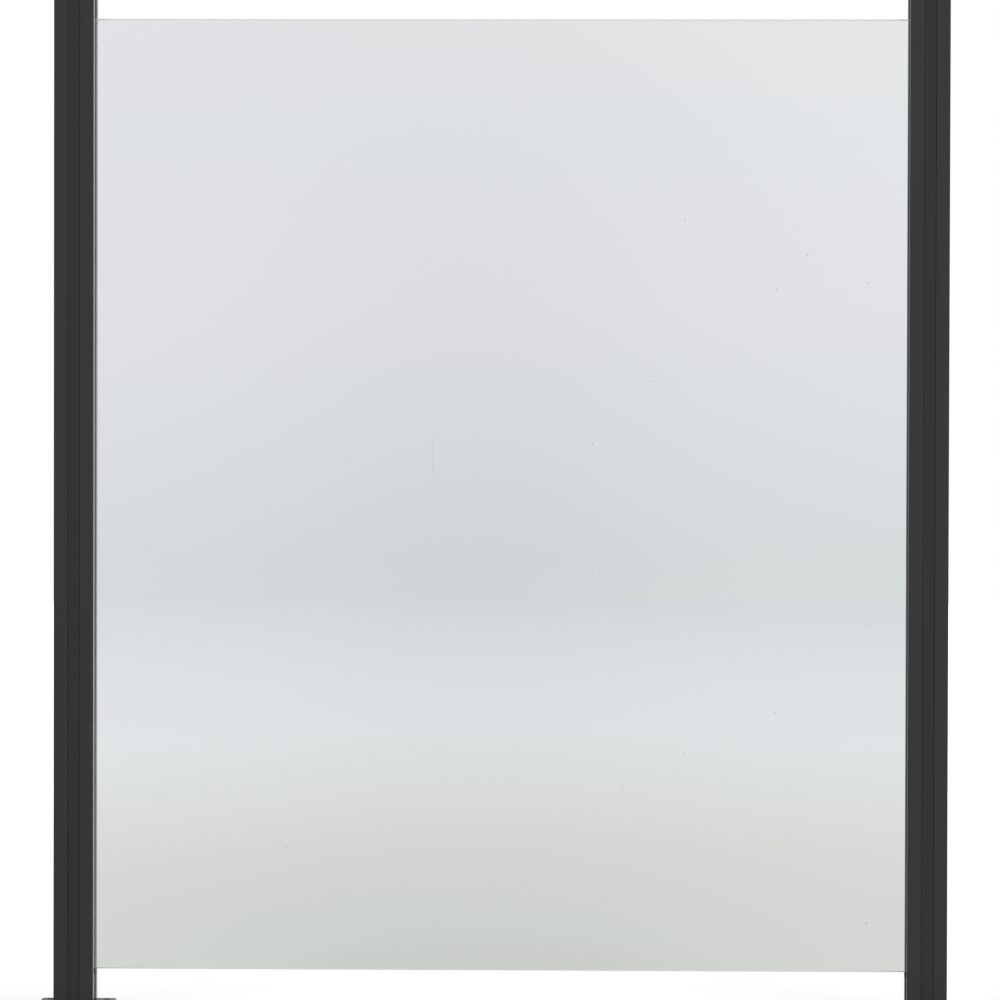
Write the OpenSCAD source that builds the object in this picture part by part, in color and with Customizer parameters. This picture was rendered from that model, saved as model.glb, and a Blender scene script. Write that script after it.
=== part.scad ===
// Glass fence panel: one toughened pane held in the grooves of two square aluminium posts that
// stand on bolted base plates. The origin is the centre of the left base plate's underside.
// +X runs along the fence to the right post, +Y to the rear and +Z up. All sizes are millimetres.

/* [Glass] */
// Width of the pane, including what sits inside the grooves
glass_w = 1050; // [400:10:1500]
// Height of the pane
glass_h = 1200; // [600:10:1600]
// Thickness of the pane
glass_t = 8; // [6:0.1:11]
// Width of the ground arris along every edge of the pane
glass_arris = 1; // [0.3:0.1:1.5]
// Height of the pane's lower edge above the ground
glass_lift = 52; // [36:1:150]

/* [Posts] */
// Outside width of the square post
post_size = 50; // [40:1:70]
// Radius of the post's outer corners
post_corner_r = 1; // [0.5:0.1:2.5]
// Width of the groove in each side of the post
groove_w = 15; // [12:0.5:20]
// Radius at the mouth of each groove
mouth_r = 0.6; // [0.2:0.1:1]
// Wall thickness of the hollow extrusion
wall_t = 2; // [1.5:0.1:2.5]
// Depth of metal that joins each corner chamber to the core
web_t = 2.5; // [2:0.1:4]
// Height of the post above the pane's upper edge
post_reveal = 44; // [15:1:150]
// Diameter of the screw ports in the corner chambers
port_bore_d = 5; // [4:0.1:6]
// Wall thickness of the screw ports
port_wall = 1.6; // [1:0.1:2]

/* [Base plates] */
// Side of the square base plate
plate_size = 95; // [85:1:140]
// Thickness of the base plate
plate_t = 8; // [6:0.1:12]
// Radius of the base plate's corners
plate_corner_r = 4; // [1:0.1:8]
// Chamfer round the base plate's upper edge
plate_chamfer = 0.8; // [0.3:0.1:1]
// Distance between the ground bolts, both ways
bolt_pitch = 72; // [66:0.5:120]
// Diameter of the ground bolt holes
bolt_hole_d = 9; // [7:0.1:13]
// Diameter of the clearance holes for the screws into the post
screw_hole_d = 6.4; // [5.5:0.1:7]
// Diameter of the countersinks for those screws
screw_head_d = 12.4; // [9:0.1:14]

/* [Post caps] */
// Thickness of the cap's top
cap_t = 4; // [2:0.1:8]
// Radius round the cap's upper edges
cap_edge_r = 1; // [0.3:0.1:1.5]
// Length of the spigot that holds the cap in the post's core
spigot_l = 14; // [6:1:30]
// Clearance round the spigot
spigot_clear = 0.1; // [0.05:0.05:0.3]

/* [Infill strips] */
// Depth of the strip's face below the post's face
strip_inset = 0.5; // [0:0.1:2]
// The same depth for the strips above and under the pane
pane_strip_inset = 3; // [0:0.1:4]
// Clearance on each side between strip and groove
strip_clear = 0.1; // [0.05:0.05:0.4]
// Thickness of the strip's face
strip_face_t = 1.8; // [1.2:0.1:3]
// Thickness of the strip's legs
strip_leg_t = 1.3; // [1:0.1:2.5]
// Depth of the strip, face and legs together, where the groove has room for it
strip_depth = 9; // [4:0.1:11]
// Radius of the strip's outer edges
strip_edge_r = 0.5; // [0.1:0.1:1]
// Gap between the pane's upper edge and the strip above it
strip_end_gap = 1; // [0.3:0.1:5]

/* [Glazing] */
// Gap between the pane's side edge and the bottom of the groove
edge_gap = 2.5; // [1:0.1:5]
// Clearance of the gaskets against glass and groove
gasket_clear = 0.1; // [0.05:0.05:0.3]
// Depth of the gasket inside the groove
gasket_depth = 8; // [4:0.1:10]
// How far the gasket stands out of the groove
gasket_proud = 0.4; // [0:0.1:1]
// Radius of the gasket's outer edges
gasket_edge_r = 0.8; // [0.2:0.1:0.8]
// Height of the setting block under each lower corner of the pane
block_h = 6; // [3:0.1:10]
// How far the setting block stands out of the groove
block_proud = 1.5; // [0:0.1:3]
// Clearance round the setting block inside the groove
block_clear = 0.25; // [0.1:0.05:0.5]
// Radius of the setting block's outer corners
block_corner_r = 1; // [0.3:0.1:2]

/* [Hidden] */
$fn = 48;

coating_colour = [0.23, 0.23, 0.235];
strip_colour = [0.205, 0.205, 0.21];
rubber_colour = [0.07, 0.07, 0.07];
glass_colour = [0.80, 0.87, 0.86, 0.45];

// Added to every cut that runs out of a solid, so that no skin is left
past = 1;

// The post's section, worked out from the groove
post_half = post_size / 2;
groove_half = groove_w / 2;
core_half = groove_half + web_t;
groove_depth = post_half - core_half;
core_bore_r = core_half - wall_t;
port_r = port_bore_d / 2 + port_wall;
// The port's ring runs a little over half its own wall into the post's wall
port_at = post_half - wall_t - port_r + port_wall * 0.6;

// Heights
glass_top = glass_lift + glass_h;
post_top = glass_top + post_reveal;

// How far the pane reaches into each groove, and the distance between the posts' centres
glass_bite = groove_depth - edge_gap;
post_pitch = glass_w - 2 * glass_bite + post_size;
glass_x = post_half - glass_bite;

// ---- helpers -------------------------------------------------------------------------------

// A square centred on the origin with round corners, made of true arcs
module round_square(side, r) {
    reach = side / 2 - r;
    square([side, 2 * reach], center = true);
    square([2 * reach, side], center = true);
    for (x = [-reach, reach], y = [-reach, reach])
        translate([x, y]) circle(r);
}

// Repeats its children in the four corners of a square of the given side
module at_corners(pitch) {
    for (x = [-pitch / 2, pitch / 2], y = [-pitch / 2, pitch / 2])
        translate([x, y]) children();
}

// Places a left-hand piece at the right-hand post, mirrored about the middle of the pane
module on_right() {
    translate([post_pitch, 0, 0]) mirror([1, 0, 0]) children();
}

// ---- glass ---------------------------------------------------------------------------------

// The outline of a pane seen end on, with its corners taken off
module arrised_outline(w, h) {
    a = glass_arris;
    polygon([[a, 0], [w - a, 0], [w, a], [w, h - a], [w - a, h], [a, h], [0, h - a], [0, a]]);
}

module glass_panel() {
    color(glass_colour)
    translate([glass_x, -glass_t / 2, glass_lift])
    intersection() {
        // across the width
        rotate([90, 0, 90]) linear_extrude(glass_w) arrised_outline(glass_t, glass_h);
        // up the height
        linear_extrude(glass_h) arrised_outline(glass_w, glass_t);
    }
}

// ---- posts ---------------------------------------------------------------------------------

// One groove that opens towards +X, with a rounded mouth
module groove_section() {
    translate([core_half, -groove_half]) square([groove_depth + past, groove_w]);
    for (s = [-1, 1])
        difference() {
            translate([post_half - mouth_r, s * (groove_half + mouth_r / 2) - mouth_r / 2])
                square([mouth_r + past, mouth_r]);
            translate([post_half - mouth_r, s * (groove_half + mouth_r)]) circle(mouth_r);
        }
}

// The hollow extrusion: four corner chambers round a bored core, with a groove in each side
module post_section() {
    chamber = post_half - wall_t - groove_half - wall_t;
    difference() {
        round_square(post_size, post_corner_r);
        for (a = [0, 90, 180, 270]) rotate(a) {
            groove_section();
            difference() {
                translate([1, 1] * (groove_half + wall_t)) square(chamber);
                translate([1, 1] * port_at) circle(port_r);
            }
            translate([1, 1] * port_at) circle(port_bore_d / 2);
        }
        circle(core_bore_r);
    }
}

module left_post() {
    color(coating_colour)
    translate([0, 0, plate_t]) linear_extrude(post_top - plate_t) post_section();
}
module right_post() { on_right() left_post(); }

// ---- base plates ---------------------------------------------------------------------------

module left_base_plate() {
    rim = plate_t - plate_chamfer;
    reach = plate_size / 2 - plate_corner_r;
    color(coating_colour)
    difference() {
        union() {
            linear_extrude(rim) round_square(plate_size, plate_corner_r);
            // the chamfered rim: a slab each way and a cone at each corner
            for (a = [0, 90]) rotate([90, 0, a])
                translate([0, 0, -reach]) linear_extrude(2 * reach)
                    polygon([
                        [-plate_size / 2, rim], [plate_size / 2, rim],
                        [plate_size / 2 - plate_chamfer, plate_t],
                        [plate_chamfer - plate_size / 2, plate_t]
                    ]);
            at_corners(2 * reach) translate([0, 0, rim])
                cylinder(h = plate_chamfer, r1 = plate_corner_r, r2 = plate_corner_r - plate_chamfer);
        }
        at_corners(bolt_pitch) translate([0, 0, -past])
            cylinder(h = plate_t + 2 * past, d = bolt_hole_d);
        at_corners(2 * port_at) {
            translate([0, 0, -past]) cylinder(h = plate_t + 2 * past, d = screw_hole_d);
            cylinder(h = (screw_head_d - screw_hole_d) / 2, d1 = screw_head_d, d2 = screw_hole_d);
        }
    }
}
module right_base_plate() { on_right() left_base_plate(); }

// ---- post caps -----------------------------------------------------------------------------

// The cap's side view: a slab whose two upper edges are round
module cap_outline() {
    reach = post_half - cap_edge_r;
    translate([-post_half, 0]) square([post_size, cap_t - cap_edge_r]);
    translate([-reach, 0]) square([2 * reach, cap_t]);
    for (x = [-reach, reach]) translate([x, cap_t - cap_edge_r]) circle(cap_edge_r);
}

module left_post_cap() {
    color(coating_colour)
    translate([0, 0, post_top]) {
        intersection() {
            for_both_ways() linear_extrude(post_size, center = true) cap_outline();
            linear_extrude(cap_t) round_square(post_size, post_corner_r);
        }
        translate([0, 0, -spigot_l]) cylinder(h = spigot_l, r = core_bore_r - spigot_clear);
    }
}
module right_post_cap() { on_right() left_post_cap(); }

// Stands a side view up along X and along Y, and keeps what both share
module for_both_ways() {
    intersection() {
        rotate([90, 0, 0]) children();
        rotate([90, 0, 90]) children();
    }
}

// ---- infill strips -------------------------------------------------------------------------

// A channel that closes the groove facing +X, with its legs pointing into the groove
module strip_section(inset) {
    half = groove_half - strip_clear;
    face = post_half - inset;
    depth = min(strip_depth, face - core_half - strip_clear);
    r = strip_edge_r;
    // the face, with round outer edges
    translate([face - strip_face_t, -half]) square([strip_face_t - r, 2 * half]);
    translate([face - strip_face_t, r - half]) square([strip_face_t, 2 * (half - r)]);
    for (y = [r - half, half - r]) translate([face - r, y]) circle(r);
    // the legs
    for (y = [-half, half - strip_leg_t])
        translate([face - depth, y]) square([depth - strip_face_t, strip_leg_t]);
}

// A strip in the groove at the given turn about the post, between two heights
module strip(turn, low, high, inset = strip_inset) {
    color(strip_colour)
    translate([0, 0, low]) rotate(turn) linear_extrude(high - low) strip_section(inset);
}

module left_front_strip() { strip(-90, plate_t, post_top); }
module left_rear_strip() { strip(90, plate_t, post_top); }
module left_outer_strip() { strip(180, plate_t, post_top); }
// over the pane, in the groove that holds it
module left_upper_strip() { strip(0, glass_top + strip_end_gap, post_top, pane_strip_inset); }
// under the pane, where it carries the setting block
module left_lower_strip() { strip(0, plate_t, glass_lift - block_h, pane_strip_inset); }

module right_front_strip() { on_right() left_front_strip(); }
module right_rear_strip() { on_right() left_rear_strip(); }
module right_outer_strip() { on_right() left_outer_strip(); }
module right_upper_strip() { on_right() left_upper_strip(); }
module right_lower_strip() { on_right() left_lower_strip(); }

// ---- glazing -------------------------------------------------------------------------------

// A rubber block that carries one lower corner of the pane
module left_setting_block() {
    low_x = core_half + block_clear;
    high_x = post_half + block_proud;
    half = groove_half - block_clear;
    r = block_corner_r;
    color(rubber_colour)
    translate([0, 0, glass_lift - block_h]) linear_extrude(block_h) {
        translate([low_x, -half]) square([high_x - r - low_x, 2 * half]);
        translate([low_x, r - half]) square([high_x - low_x, 2 * (half - r)]);
        for (y = [r - half, half - r]) translate([high_x - r, y]) circle(r);
    }
}
module right_setting_block() { on_right() left_setting_block(); }

// The rear gasket's section: a band that fills the groove beside the pane, with round outer edges
module gasket_section() {
    inner = glass_t / 2 + gasket_clear;
    outer = groove_half - gasket_clear;
    back = post_half - gasket_depth;
    face = post_half + gasket_proud;
    r = gasket_edge_r;
    translate([back, inner]) square([face - r - back, outer - inner]);
    translate([back, inner + r]) square([face - back, outer - inner - 2 * r]);
    for (y = [inner + r, outer - r]) translate([face - r, y]) circle(r);
}

module left_rear_gasket() {
    color(rubber_colour)
    translate([0, 0, glass_lift]) linear_extrude(glass_h) gasket_section();
}
module left_front_gasket() { mirror([0, 1, 0]) left_rear_gasket(); }
module right_rear_gasket() { on_right() left_rear_gasket(); }
module right_front_gasket() { on_right() left_front_gasket(); }

// ---- the assembly --------------------------------------------------------------------------

glass_panel();

left_post();
left_base_plate();
left_post_cap();
left_front_strip();
left_rear_strip();
left_outer_strip();
left_upper_strip();
left_lower_strip();
left_setting_block();
left_front_gasket();
left_rear_gasket();

right_post();
right_base_plate();
right_post_cap();
right_front_strip();
right_rear_strip();
right_outer_strip();
right_upper_strip();
right_lower_strip();
right_setting_block();
right_front_gasket();
right_rear_gasket();
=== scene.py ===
"""The looks of the glass fence panel: its finishes, its screws, and a plain studio round it.

Lengths are metres, in the part's own frame: +X along the fence, +Y to the rear, +Z up.
"""

import math

import bmesh
import bpy
from mathutils import Matrix, Vector


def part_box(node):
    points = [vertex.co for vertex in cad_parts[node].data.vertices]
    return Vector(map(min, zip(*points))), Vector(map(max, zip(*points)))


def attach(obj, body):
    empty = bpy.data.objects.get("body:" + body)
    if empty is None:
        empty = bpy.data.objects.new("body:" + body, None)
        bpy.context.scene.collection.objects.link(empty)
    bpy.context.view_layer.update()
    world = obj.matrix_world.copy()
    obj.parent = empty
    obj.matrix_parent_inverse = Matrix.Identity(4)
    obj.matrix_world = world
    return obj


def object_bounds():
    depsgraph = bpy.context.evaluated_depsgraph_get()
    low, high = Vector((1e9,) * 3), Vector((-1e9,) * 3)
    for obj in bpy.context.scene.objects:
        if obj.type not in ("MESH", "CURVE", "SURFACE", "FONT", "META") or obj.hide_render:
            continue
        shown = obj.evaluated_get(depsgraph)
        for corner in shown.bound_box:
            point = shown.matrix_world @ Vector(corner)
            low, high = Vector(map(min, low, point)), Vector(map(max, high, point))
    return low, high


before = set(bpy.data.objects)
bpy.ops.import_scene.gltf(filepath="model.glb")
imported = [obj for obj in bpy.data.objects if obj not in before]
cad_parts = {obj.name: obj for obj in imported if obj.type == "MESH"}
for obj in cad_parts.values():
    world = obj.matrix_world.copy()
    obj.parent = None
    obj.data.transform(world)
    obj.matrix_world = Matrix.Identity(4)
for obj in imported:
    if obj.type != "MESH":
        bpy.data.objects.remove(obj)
CAD_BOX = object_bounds()
MIDDLE = (CAD_BOX[0] + CAD_BOX[1]) / 2

# The camera looks at a point close to the panel's middle, from a little to the right and above
AIM_OFFSET = Vector((-0.0010, 0.0, -0.0036))
CAMERA_AZIMUTH = math.radians(1.0715)
CAMERA_ELEVATION = math.radians(0.932)
CAMERA_ROLL = math.radians(0.1375)
CAMERA_DISTANCE = 5.395
SENSOR = 36.0
LENS = 153.88

# Most of a noise texture's values lie between these two
NOISE_LOW = 0.3
NOISE_HIGH = 0.7

# Powder coat: orange peel, uneven patches, and lines that the die leaves along an extrusion.
# A texture's scale is per metre, and its stretch is what is left of that along Z.
COAT_COLOUR = (0.017, 0.017, 0.018)
COAT_ROUGHNESS = 0.32
STRIP_COLOUR = (0.012, 0.012, 0.013)
STRIP_ROUGHNESS = 0.31
COAT_IOR = 1.45
PEEL_SCALE = 700
PEEL_DEPTH = 0.00003
PATCH_SCALE = 14
PATCH_STRETCH = 0.25
PATCH_TONE = 0.08
PATCH_SHEEN = 0.03
LINE_SCALE = 420
LINE_STRETCH = 0.004
LINE_DEPTH = 0.00004
LINE_TONE = 0.05
LINE_SHEEN = 0.025

# Rubber: a fine grain, and a grey bloom that lightens it
GASKET_COLOUR = (0.018, 0.018, 0.018)
BLOCK_COLOUR = (0.010, 0.010, 0.010)
RUBBER_ROUGHNESS = (0.36, 0.46)
RUBBER_IOR = 1.5
GRAIN_SCALE = 1500
GRAIN_DEPTH = 0.00003
BLOOM_SCALE = 60
BLOOM_STRETCH = 0.2
BLOOM_RANGE = (0.35, 0.75)
BLOOM_GAIN = 1.9

# Zinc: clouds between two tones, and fine turning marks
ZINC_COOL = (0.52, 0.53, 0.55, 1)
ZINC_WARM = (0.60, 0.59, 0.56, 1)
ZINC_ROUGHNESS = (0.28, 0.42)
CLOUD_SCALE = 300
TURNING_SCALE = 900
TURNING_STRETCH = 6
TURNING_DEPTH = 0.00002

# The glass: its body's tint, and its frosted ground edges
GLASS_IOR = 1.5
GLASS_BODY = (0.28, 0.68, 0.48, 1)
GLASS_DENSITY = 5.0
GROUND_EDGE = 0.00095
GROUND_COLOUR = (0.79, 0.84, 0.81, 1)
GROUND_HAZE = 0.65
GROUND_ROUGHNESS = 0.5

# Dust on the glass: specks, and one hairline placed by its share of the pane's width and height.
# Out from its middle, across and along, the dust is full up to the first number, gone at the second.
DUST_COLOUR = (0.50, 0.50, 0.48, 1)
HAIRLINE_AT = (0.418, 0.542)
HAIRLINE_ACROSS = (0.0002, 0.0009)
HAIRLINE_ALONG = (0.018, 0.031)
HAIRLINE_DUST = 0.22
SPECK_CELLS = 26
SPECK_SHARE = 0.025
SPECK_R = 0.0013
SPECK_CORE = 0.6
SPECK_LEAST = 0.3

# The countersunk screws that hold each post to its plate, from the post's centre and the ground up
SCREW_AT = 0.01986
SCREW_RECESS = 0.0002
SCREW_HEAD_R = 0.0060
SCREW_HEAD_H = 0.0031
SCREW_HEAD_RIM = 0.0003
SCREW_SHANK_R = 0.0030
SCREW_SHANK_END = 0.0078
SCREW_ROOT_START = 0.0082
SCREW_THREAD_START = 0.0085
SCREW_THREAD_R = 0.00245
SCREW_ROOT_R = 0.0021
SCREW_PITCH = 0.0010
SCREW_LENGTH = 0.024
SCREW_UNTHREADED = 0.010
SCREW_TIP_R = 0.00168
SOCKET_APOTHEM = 0.0020
SOCKET_DEPTH = 0.0022
SCREW_SIDES = 36
SHARP_ANGLE = math.radians(35)

# The floor lies just under the plates and ends in front of the rear wall
FLOOR_GAP = 0.0005
FLOOR_R = 13.0
FLOOR_SIDES = 128
FLOOR_GREY = (0.58, 0.58, 0.58, 1)
FLOOR_DIFFUSE = (0.04, 0.04, 0.04, 1)
# How strongly it glows where the camera sees it, near the panel and far off: (metres, strength)
FLOOR_NEAR = (1.5, 0.38)
FLOOR_FAR = (7.0, 0.95)
# Painted shade: the ground under a plate is painted dark and does not glow, as if in the plate's
# shadow; this dark ground stops short of the plate's rim
PAINTED_SHADE_UNDER_PLATE = (0.03, 0.03, 0.03, 1)
UNDER_INSET = 0.001
WHITE = (1.0, 1.0, 1.0, 1.0)
BLACK = (0, 0, 0, 1)

# The floor seen through the pane, by distance from the panel: (metres, colour).
# Along the fence the tones change faster than to the rear, by the squeeze.
# Painted shadow: the darker tones near the panel stand for the panel's shadow on the floor
FLOOR_SEEN_WITH_PAINTED_SHADOW = [
    (0.2, (0.59, 0.59, 0.58)),
    (0.9, (0.65, 0.66, 0.64)),
    (2.3, (0.68, 0.68, 0.67)),
    (3.0, (0.70, 0.71, 0.71)),
    (3.8, (0.73, 0.74, 0.75)),
    (5.0, (0.78, 0.79, 0.81)),
    (7.0, (0.77, 0.78, 0.80)),
    (13.1, (0.70, 0.72, 0.75)),
]
FLOOR_SQUEEZE = 2.2
# The rear wall seen through the pane, from a little under the horizon up: (rise, colour)
WALL = [
    (-0.04, (0.69, 0.71, 0.73)),
    (-0.03, (0.69, 0.71, 0.73)),
    (-0.016, (0.72, 0.73, 0.76)),
    (0.007, (0.75, 0.76, 0.79)),
    (0.03, (0.77, 0.77, 0.81)),
    (0.07, (0.77, 0.78, 0.81)),
    (0.10, (0.78, 0.78, 0.80)),
]
# The wall's cooler left and warmer right, by direction along the fence: (direction, tint)
WALL_TINT = [
    (-0.12, (0.98, 0.98, 0.99)),
    (0.08, (1.02, 1.02, 1.01)),
]

# The studio's greys by rise, from straight down at -1 to straight up at 1: (rise, grey).
# The panel mirrors what is ahead of it and behind it, and the even light comes from all round.
AHEAD = [(-1, 0.12), (-0.40, 0.16), (-0.14, 0.95), (0.12, 0.95), (0.40, 0.70), (1, 0.50)]
REAR_LEFT = [(-1, 0.2), (-0.2, 0.36), (0.09, 0.36), (0.16, 0.8), (1, 0.4)]
REAR_RIGHT = [(-1, 0.2), (-0.2, 0.8), (-0.1, 1.25), (0.09, 1.25), (0.25, 0.6), (1, 0.4)]
EVEN_LIGHT = [(-1, 0.50), (0, 0.65), (1, 0.88)]
# Ahead, the studio falls off to the left, by direction along the fence: (direction, share)
FALL_OFF = [(-0.60, 0.35), (-0.15, 1.0)]
# Half the width of the soft joins between left and right, and between ahead and behind
SIDE_JOIN = 0.15
DEPTH_JOIN = 0.2
# Soft dark spots ahead that the pane mirrors: (middle, spread, how much it takes off).
# All are spread alike in depth.
DARK_SPOTS = [
    ((0.07, -0.01), (0.036, 0.041), (0.33, 0.28, 0.26)),
    ((-0.02, -0.006), (0.037, 0.06), (0.80, 0.77, 0.78)),
    ((-0.05, -0.117), (0.07, 0.013), (0.80, 0.57, 0.69)),
]
SPOT_DEPTH = 0.5

# The lamps: (name, place, side, watts)
LAMPS = [
    ("key", (3.6, -2.8, 1.4), 2.0, 66),
    ("fill", (-2.6, -3.6, 1.3), 2.2, 42),
    ("back", (0.6, 3.6, 2.6), 2.4, 60),
]


# ---- node trees ------------------------------------------------------------------------------


class Tree:
    """Short calls that add nodes to one material's or world's tree."""

    def __init__(self, owner):
        owner.use_nodes = True
        self.nodes = owner.node_tree.nodes
        self.links = owner.node_tree.links
        self.nodes.clear()

    def put(self, socket, value):
        """Links a socket to an input, or sets the input to a value."""
        if isinstance(value, bpy.types.NodeSocket):
            self.links.new(value, socket)
        else:
            socket.default_value = value

    def add(self, kind, inputs=(), **settings):
        """A node with its settings, and with its inputs given as values or as sockets to link."""
        node = self.nodes.new("ShaderNode" + kind)
        for name, value in settings.items():
            setattr(node, name, value)
        for key, value in dict(inputs).items():
            self.put(node.inputs[key], value)
        return node

    def maths(self, operation, a, b=0.0):
        return self.add("Math", {0: a, 1: b}, operation=operation).outputs[0]

    def remap(self, value, from_low, from_high, to_low, to_high):
        """A number carried from one range to another, and held at the ends."""
        inputs = {
            "Value": value, "From Min": from_low, "From Max": from_high,
            "To Min": to_low, "To Max": to_high,
        }
        return self.add("MapRange", inputs).outputs["Result"]

    def spread(self, noise, low, high):
        """Noise carried to a range."""
        return self.remap(noise, NOISE_LOW, NOISE_HIGH, low, high)

    def mix(self, factor, a, b, blend="MIX"):
        """Two colours mixed."""
        node = self.add("Mix", data_type="RGBA", blend_type=blend)
        for socket, value in zip((node.inputs[0], node.inputs[6], node.inputs[7]), (factor, a, b)):
            self.put(socket, value)
        return node.outputs[2]

    def ramp(self, value, stops):
        """The colour at a value, from (value, (red, green, blue)) or (value, grey) stops."""
        low = stops[0][0]
        high = stops[-1][0]
        node = self.add("ValToRGB", {"Fac": self.remap(value, low, high, 0, 1)})
        elements = node.color_ramp.elements
        for i, (place, colour) in enumerate(stops):
            share = (place - low) / (high - low)
            stop = elements[i] if i < 2 else elements.new(share)
            stop.position = share
            shade = colour if isinstance(colour, tuple) else (colour, colour, colour)
            stop.color = (*shade, 1)
        return node.outputs["Color"]

    def place(self):
        """The point being shaded, in the part's frame."""
        return self.add("TexCoord").outputs["Object"]

    def stretched(self, along):
        """The point being shaded, with Z scaled so that textures are drawn out or packed along it."""
        return self.add("Mapping", {"Vector": self.place(), "Scale": (1, 1, along)}).outputs["Vector"]

    def noise(self, vector, scale, detail, roughness=0.5):
        """Noise about 0.5."""
        inputs = {"Vector": vector, "Scale": scale, "Detail": detail, "Roughness": roughness}
        return self.add("TexNoise", inputs).outputs["Fac"]

    def bump(self, height, depth, **inputs):
        """The normal over a relief of so much depth, on top of another normal if one is given."""
        return self.add("Bump", {"Height": height, "Distance": depth, **inputs}).outputs["Normal"]

    def surface(self, shader):
        self.add("OutputMaterial", {"Surface": shader})


def new_material(name):
    material = bpy.data.materials.new(name)
    return material, Tree(material)


# ---- finishes --------------------------------------------------------------------------------


def powder_coat(name, colour, roughness, line_depth=LINE_DEPTH):
    """Satin powder coat: fine orange peel, faint lines along the die, a little unevenness."""
    material, tree = new_material(name)
    lines = tree.noise(tree.stretched(LINE_STRETCH), LINE_SCALE, detail=3, roughness=0.6)
    patches = tree.noise(tree.stretched(PATCH_STRETCH), PATCH_SCALE, detail=3)
    peel = tree.noise(tree.place(), PEEL_SCALE, detail=2)
    patch_tone = tree.spread(patches, 1 - PATCH_TONE, 1 + PATCH_TONE)
    tone = tree.maths("ADD", patch_tone, tree.spread(lines, -LINE_TONE, LINE_TONE))
    patch_sheen = tree.spread(patches, roughness - PATCH_SHEEN, roughness + PATCH_SHEEN)
    sheen = tree.maths("ADD", patch_sheen, tree.spread(lines, -LINE_SHEEN, LINE_SHEEN))
    shader = tree.add("BsdfPrincipled", {
        "Base Color": tree.mix(1.0, (*colour, 1), tone, "MULTIPLY"),
        "Roughness": sheen, "IOR": COAT_IOR,
        "Normal": tree.bump(peel, PEEL_DEPTH, Normal=tree.bump(lines, line_depth)),
    })
    tree.surface(shader.outputs["BSDF"])
    return material


def rubber(name, colour):
    """Black glazing rubber: dull, finely grained, with a faint grey bloom."""
    material, tree = new_material(name)
    grain = tree.noise(tree.place(), GRAIN_SCALE, detail=2)
    bloom = tree.noise(tree.stretched(BLOOM_STRETCH), BLOOM_SCALE, detail=4, roughness=0.6)
    bloomed = tuple(BLOOM_GAIN * c for c in colour)
    shader = tree.add("BsdfPrincipled", {
        "Base Color": tree.mix(tree.remap(bloom, *BLOOM_RANGE, 0, 1), (*colour, 1), (*bloomed, 1)),
        "Roughness": tree.spread(bloom, *RUBBER_ROUGHNESS), "IOR": RUBBER_IOR,
        "Normal": tree.bump(grain, GRAIN_DEPTH),
    })
    tree.surface(shader.outputs["BSDF"])
    return material


def clear_glass(name):
    """Toughened float glass: clear faces with a little dust on the front, and frosted ground edges."""
    material, tree = new_material(name)
    low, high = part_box("glass_panel")
    point = tree.add("SeparateXYZ", {"Vector": tree.place()})
    dust = tree.maths("MAXIMUM", specks(tree, point), hairline(tree, point, low, high))
    in_front = tree.maths("LESS_THAN", point.outputs["Y"], (low.y + high.y) / 2)
    dusty = tree.mix(tree.maths("MULTIPLY", dust, in_front), WHITE, DUST_COLOUR)
    ground = ground_edges(tree, point, low, high)
    shader = tree.add("BsdfPrincipled", {
        "Base Color": tree.mix(ground, dusty, GROUND_COLOUR),
        "Roughness": tree.maths("MULTIPLY", ground, GROUND_ROUGHNESS), "IOR": GLASS_IOR,
        "Transmission Weight": tree.maths("SUBTRACT", 1.0, tree.maths("MULTIPLY", ground, GROUND_HAZE)),
    })
    body = tree.add("VolumeAbsorption", {"Color": GLASS_BODY, "Density": GLASS_DENSITY})
    tree.add("OutputMaterial", {"Surface": shader.outputs["BSDF"], "Volume": body.outputs["Volume"]})
    return material


def ground_edges(tree, point, low, high):
    """1 on the pane's ground edges and their arrises, 0 on its clear faces."""
    on_edge = []
    for axis, near, far in (("X", low.x, high.x), ("Z", low.z, high.z)):
        away = tree.maths("ABSOLUTE", tree.maths("SUBTRACT", point.outputs[axis], (near + far) / 2))
        on_edge.append(tree.maths("GREATER_THAN", away, (far - near) / 2 - GROUND_EDGE))
    return tree.maths("MAXIMUM", *on_edge)


def hairline(tree, point, low, high):
    """How dusty the one upright hairline on the pane is, 0 elsewhere."""
    across = tree.maths("SUBTRACT", point.outputs["X"], low.x + HAIRLINE_AT[0] * (high.x - low.x))
    along = tree.maths("SUBTRACT", point.outputs["Z"], low.z + HAIRLINE_AT[1] * (high.z - low.z))
    thin = tree.remap(tree.maths("ABSOLUTE", across), *HAIRLINE_ACROSS, HAIRLINE_DUST, 0)
    short = tree.remap(tree.maths("ABSOLUTE", along), *HAIRLINE_ALONG, 1, 0)
    return tree.maths("MULTIPLY", thin, short)


def specks(tree, point):
    """How dusty a few small specks scattered over the pane are, 0 elsewhere."""
    flat = tree.add("CombineXYZ", {"X": point.outputs["X"], "Y": point.outputs["Z"]}).outputs["Vector"]
    inputs = {"Vector": flat, "Scale": SPECK_CELLS}
    cells = tree.add("TexVoronoi", inputs, feature="F1", voronoi_dimensions="2D")
    chance = tree.add("SeparateColor", {"Color": cells.outputs["Color"]})
    chosen = tree.maths("GREATER_THAN", chance.outputs[0], 1 - SPECK_SHARE)
    reach = SPECK_R * SPECK_CELLS
    near = tree.remap(cells.outputs["Distance"], SPECK_CORE * reach, reach, 1, 0)
    dusty = tree.remap(chance.outputs[1], 0, 1, SPECK_LEAST, 1)
    return tree.maths("MULTIPLY", tree.maths("MULTIPLY", chosen, near), dusty)


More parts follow.
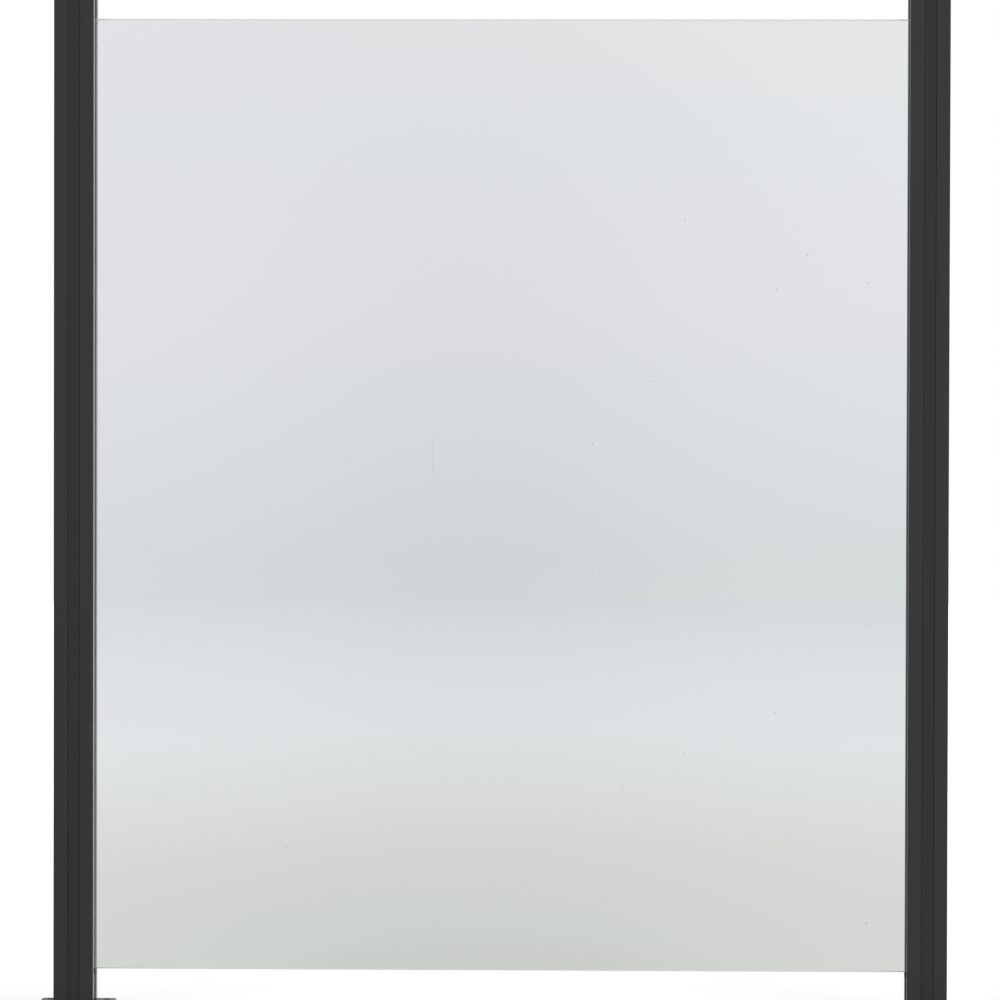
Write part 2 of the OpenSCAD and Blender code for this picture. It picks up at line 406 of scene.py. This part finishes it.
def plated_steel(name):
    """Bright zinc on steel, with a slight cloudy unevenness."""
    material, tree = new_material(name)
    cloud = tree.noise(tree.place(), CLOUD_SCALE, detail=3)
    turned = tree.noise(tree.stretched(TURNING_STRETCH), TURNING_SCALE, detail=2)
    shader = tree.add("BsdfPrincipled", {
        "Base Color": tree.mix(tree.spread(cloud, 0, 1), ZINC_COOL, ZINC_WARM),
        "Metallic": 1.0, "Roughness": tree.spread(cloud, *ZINC_ROUGHNESS),
        "Normal": tree.bump(turned, TURNING_DEPTH),
    })
    tree.surface(shader.outputs["BSDF"])
    return material


def finish_nodes():
    """Gives every CAD node the finish of its kind."""
    post_coat = powder_coat("post_coat", COAT_COLOUR, COAT_ROUGHNESS)
    kinds = {
        "glass_panel": clear_glass("pane"),
        "post": post_coat,
        "post_cap": post_coat,
        "base_plate": powder_coat("plate_coat", COAT_COLOUR, COAT_ROUGHNESS, line_depth=0.0),
        "strip": powder_coat("strip_coat", STRIP_COLOUR, STRIP_ROUGHNESS),
        "gasket": rubber("gasket_rubber", GASKET_COLOUR),
        "setting_block": rubber("block_rubber", BLOCK_COLOUR),
    }
    for name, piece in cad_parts.items():
        kind = next(k for k in kinds if name.endswith(k))
        piece.data.materials.clear()
        piece.data.materials.append(kinds[kind])


def let_light_through(pane):
    """Keeps the clear pane from shading the rest: Cycles gives glass an opaque shadow."""
    pane.visible_shadow = False
    pane.visible_diffuse = False
    pane.visible_glossy = False


# ---- screws ----------------------------------------------------------------------------------


def screw_profile():
    """(height, radius) of the screw from its head up, and whether the ring is its socket's hexagon."""
    low = SCREW_RECESS
    rings = [
        (low + SOCKET_DEPTH, SOCKET_APOTHEM, True),
        (low, SOCKET_APOTHEM, True),
        (low, SCREW_HEAD_R - SCREW_HEAD_RIM, False),
        (low + SCREW_HEAD_RIM, SCREW_HEAD_R, False),
        (low + SCREW_HEAD_H, SCREW_SHANK_R, False),
        (SCREW_SHANK_END, SCREW_SHANK_R, False),
        (SCREW_ROOT_START, SCREW_ROOT_R, False),
    ]
    turns = int((SCREW_LENGTH - SCREW_UNTHREADED) / SCREW_PITCH)
    for turn in range(turns):
        start = SCREW_THREAD_START + turn * SCREW_PITCH
        for share, radius in ((0.25, SCREW_ROOT_R), (0.5, SCREW_THREAD_R), (0.75, SCREW_ROOT_R)):
            rings.append((start + share * SCREW_PITCH, radius, False))
    rings.append((SCREW_LENGTH, SCREW_TIP_R, False))
    return rings


def add_screw(mesh, centre):
    """One countersunk screw with a hexagon socket, standing head down at centre."""
    rings = []
    for z, radius, is_hexagon in screw_profile():
        ring = []
        for side in range(SCREW_SIDES):
            angle = 2 * math.pi * side / SCREW_SIDES
            reach = radius
            if is_hexagon:
                reach /= math.cos(angle % (math.pi / 3) - math.pi / 6)
            point = Vector((reach * math.cos(angle), reach * math.sin(angle), z))
            ring.append(mesh.verts.new(centre + point))
        rings.append(ring)
    for lower, upper in zip(rings, rings[1:]):
        for side in range(SCREW_SIDES):
            after = (side + 1) % SCREW_SIDES
            mesh.faces.new((lower[side], lower[after], upper[after], upper[side]))
    mesh.faces.new(rings[0])
    mesh.faces.new(rings[-1])


def make_screws(side, steel):
    """The four screws under one base plate, as one piece."""
    low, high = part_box(f"{side}_base_plate")
    centre = Vector(((low.x + high.x) / 2, (low.y + high.y) / 2, low.z))
    mesh = bmesh.new()
    for x in (-SCREW_AT, SCREW_AT):
        for y in (-SCREW_AT, SCREW_AT):
            add_screw(mesh, centre + Vector((x, y, 0)))
    bmesh.ops.recalc_face_normals(mesh, faces=mesh.faces)
    data = bpy.data.meshes.new(f"{side}_screws")
    mesh.to_mesh(data)
    mesh.free()
    data.materials.append(steel)
    data.set_sharp_from_angle(angle=SHARP_ANGLE)
    for face in data.polygons:
        face.use_smooth = True
    piece = bpy.data.objects.new(f"{side}_screws", data)
    bpy.context.scene.collection.objects.link(piece)
    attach(piece, "root")


# ---- studio ----------------------------------------------------------------------------------


def spot(tree, direction, middle, spread):
    """1 at one place in the front half of the studio, falling off softly round it."""
    centre = (middle[0], -1, middle[1])
    offset = tree.add("VectorMath", {0: direction, 1: centre}, operation="SUBTRACT").outputs["Vector"]
    reach = (1 / spread[0], 1 / SPOT_DEPTH, 1 / spread[1])
    scaled = tree.add("VectorMath", {0: offset, 1: reach}, operation="MULTIPLY").outputs["Vector"]
    square = tree.add("VectorMath", {0: scaled, 1: scaled}, operation="DOT_PRODUCT").outputs["Value"]
    return tree.maths("EXPONENT", tree.maths("MULTIPLY", square, -0.5))


def mirrored_studio(tree, direction, parts):
    """What the panel mirrors: a pale front with soft dark spots, and a rear brighter on the right."""
    rise = parts.outputs["Z"]
    sideways = parts.outputs["X"]
    ahead = tree.ramp(rise, AHEAD)
    for middle, spread, dark in DARK_SPOTS:
        ahead = tree.mix(spot(tree, direction, middle, spread), ahead, (*dark, 1), "SUBTRACT")
    ahead = tree.mix(1.0, ahead, tree.ramp(sideways, FALL_OFF), "MULTIPLY")
    on_right = tree.remap(sideways, -SIDE_JOIN, SIDE_JOIN, 0, 1)
    behind = tree.mix(on_right, tree.ramp(rise, REAR_LEFT), tree.ramp(rise, REAR_RIGHT))
    return tree.mix(tree.remap(parts.outputs["Y"], -DEPTH_JOIN, DEPTH_JOIN, 0, 1), ahead, behind)


def studio_world():
    """Even light all round, white where it is seen directly, with a rear wall seen through the pane."""
    world = bpy.data.worlds.new("studio")
    bpy.context.scene.world = world
    tree = Tree(world)
    direction = tree.add("TexCoord").outputs["Generated"]
    parts = tree.add("SeparateXYZ", {"Vector": direction})
    rise = parts.outputs["Z"]
    tint = tree.ramp(parts.outputs["X"], WALL_TINT)
    wall = tree.mix(1.0, tree.ramp(rise, WALL), tint, "MULTIPLY")
    path = tree.add("LightPath")
    mirrored = mirrored_studio(tree, direction, parts)
    seen = tree.mix(path.outputs["Is Glossy Ray"], tree.ramp(rise, EVEN_LIGHT), mirrored)
    seen = tree.mix(path.outputs["Is Transmission Ray"], seen, wall)
    seen = tree.mix(path.outputs["Is Camera Ray"], seen, WHITE)
    background = tree.add("Background", {"Color": seen, "Strength": 1.0})
    tree.add("OutputWorld", {"Surface": background.outputs[0]})


def under_piece(tree, point, name):
    """1 over the ground that a piece stands on, 0 elsewhere."""
    low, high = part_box(name)
    inside = []
    for axis, near, far in (("X", low.x, high.x), ("Y", low.y, high.y)):
        away = tree.maths("ABSOLUTE", tree.maths("SUBTRACT", point.outputs[axis], (near + far) / 2))
        inside.append(tree.maths("LESS_THAN", away, (far - near) / 2 - UNDER_INSET))
    return tree.maths("MULTIPLY", *inside)


def floor_distance(tree, point):
    """How far a point of the floor is from the panel, with the fence's direction squeezed."""
    along = tree.maths("SUBTRACT", point.outputs["X"], MIDDLE.x)
    squeezed = tree.maths("MULTIPLY", along, FLOOR_SQUEEZE)
    square = tree.maths("MULTIPLY", squeezed, squeezed)
    away = tree.maths("MULTIPLY", point.outputs["Y"], point.outputs["Y"])
    return tree.maths("SQRT", tree.maths("ADD", square, away))


def floor_material():
    """A pale floor: white with the panel's shadow when seen directly, pale grey through the pane.

    It is painted dark under the plates, as painted shade, and seen through the pane it shows a painted
    shadow of the panel, darker near it. It is clear from below, so that the world lights what faces
    down.
    """
    material, tree = new_material("floor")
    geometry = tree.add("NewGeometry")
    point = tree.add("SeparateXYZ", {"Vector": geometry.outputs["Position"]})
    path = tree.add("LightPath")
    seen = path.outputs["Is Camera Ray"]
    through = path.outputs["Is Transmission Ray"]
    distance = floor_distance(tree, point)
    # Painted shade: under the plates the floor gets a dark colour and no glow
    painted_shade_under = tree.maths("ADD", under_piece(tree, point, "left_base_plate"),
                       under_piece(tree, point, "right_base_plate"))
    # Through the pane the floor glows in these tones, with a painted shadow of the panel near it
    through_pane_painted_shadow = tree.mix(1.0, tree.ramp(distance, FLOOR_SEEN_WITH_PAINTED_SHADOW), FLOOR_DIFFUSE, "SUBTRACT")
    direct = tree.remap(distance, FLOOR_NEAR[0], FLOOR_FAR[0], FLOOR_NEAR[1], FLOOR_FAR[1])
    strength = tree.mix(painted_shade_under, tree.mix(seen, through, direct), BLACK)
    glow = tree.add("Emission", {"Color": tree.mix(seen, through_pane_painted_shadow, WHITE), "Strength": strength})
    colour = tree.mix(painted_shade_under, tree.mix(through, FLOOR_GREY, FLOOR_DIFFUSE), PAINTED_SHADE_UNDER_PLATE)
    pale = tree.add("BsdfDiffuse", {"Color": colour})
    top = tree.add("AddShader", {0: pale.outputs[0], 1: glow.outputs[0]})
    clear = tree.add("BsdfTransparent")
    sides = {0: geometry.outputs["Backfacing"], 1: top.outputs[0], 2: clear.outputs[0]}
    tree.surface(tree.add("MixShader", sides).outputs[0])
    return material


def make_floor():
    """A round floor about the panel's middle, which takes shadows."""
    mesh = bmesh.new()
    bmesh.ops.create_circle(mesh, cap_ends=True, radius=FLOOR_R, segments=FLOOR_SIDES)
    data = bpy.data.meshes.new("floor")
    mesh.to_mesh(data)
    mesh.free()
    data.materials.append(floor_material())
    floor = bpy.data.objects.new("floor", data)
    floor.location = (MIDDLE.x, MIDDLE.y, CAD_BOX[0].z - FLOOR_GAP)
    floor.visible_diffuse = False
    floor.visible_glossy = False
    bpy.context.scene.collection.objects.link(floor)


def softbox(name, place, side, power):
    """A square lamp that faces the panel's middle, and that neither shows nor is mirrored."""
    lamp = bpy.data.lights.new(name, "AREA")
    lamp.shape = "SQUARE"
    lamp.size = side
    lamp.energy = power
    holder = bpy.data.objects.new(name, lamp)
    holder.location = place
    holder.rotation_euler = (MIDDLE - Vector(place)).to_track_quat("-Z", "Y").to_euler()
    holder.visible_camera = False
    holder.visible_transmission = False
    holder.visible_glossy = False
    bpy.context.scene.collection.objects.link(holder)


def make_camera():
    """The photograph's view: far off, nearly square on, with a long lens."""
    data = bpy.data.cameras.new("camera")
    data.sensor_width = SENSOR
    data.lens = LENS
    camera = bpy.data.objects.new("camera", data)
    turn = Matrix.Rotation(CAMERA_AZIMUTH, 4, "Z")
    tilt = Matrix.Rotation(math.pi / 2 - CAMERA_ELEVATION, 4, "X")
    roll = Matrix.Rotation(CAMERA_ROLL, 4, "Z")
    facing = turn @ tilt @ roll
    back = facing.to_3x3() @ Vector((0, 0, 1))
    camera.matrix_world = Matrix.Translation(MIDDLE + AIM_OFFSET + CAMERA_DISTANCE * back) @ facing
    bpy.context.scene.collection.objects.link(camera)
    bpy.context.scene.camera = camera


# ---- the scene -------------------------------------------------------------------------------

make_camera()
finish_nodes()
let_light_through(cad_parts["glass_panel"])
steel = plated_steel("plated_steel")
for side in ("left", "right"):
    make_screws(side, steel)
make_floor()
studio_world()
for lamp in LAMPS:
    softbox(*lamp)
bpy.context.scene.view_settings.view_transform = "Standard"
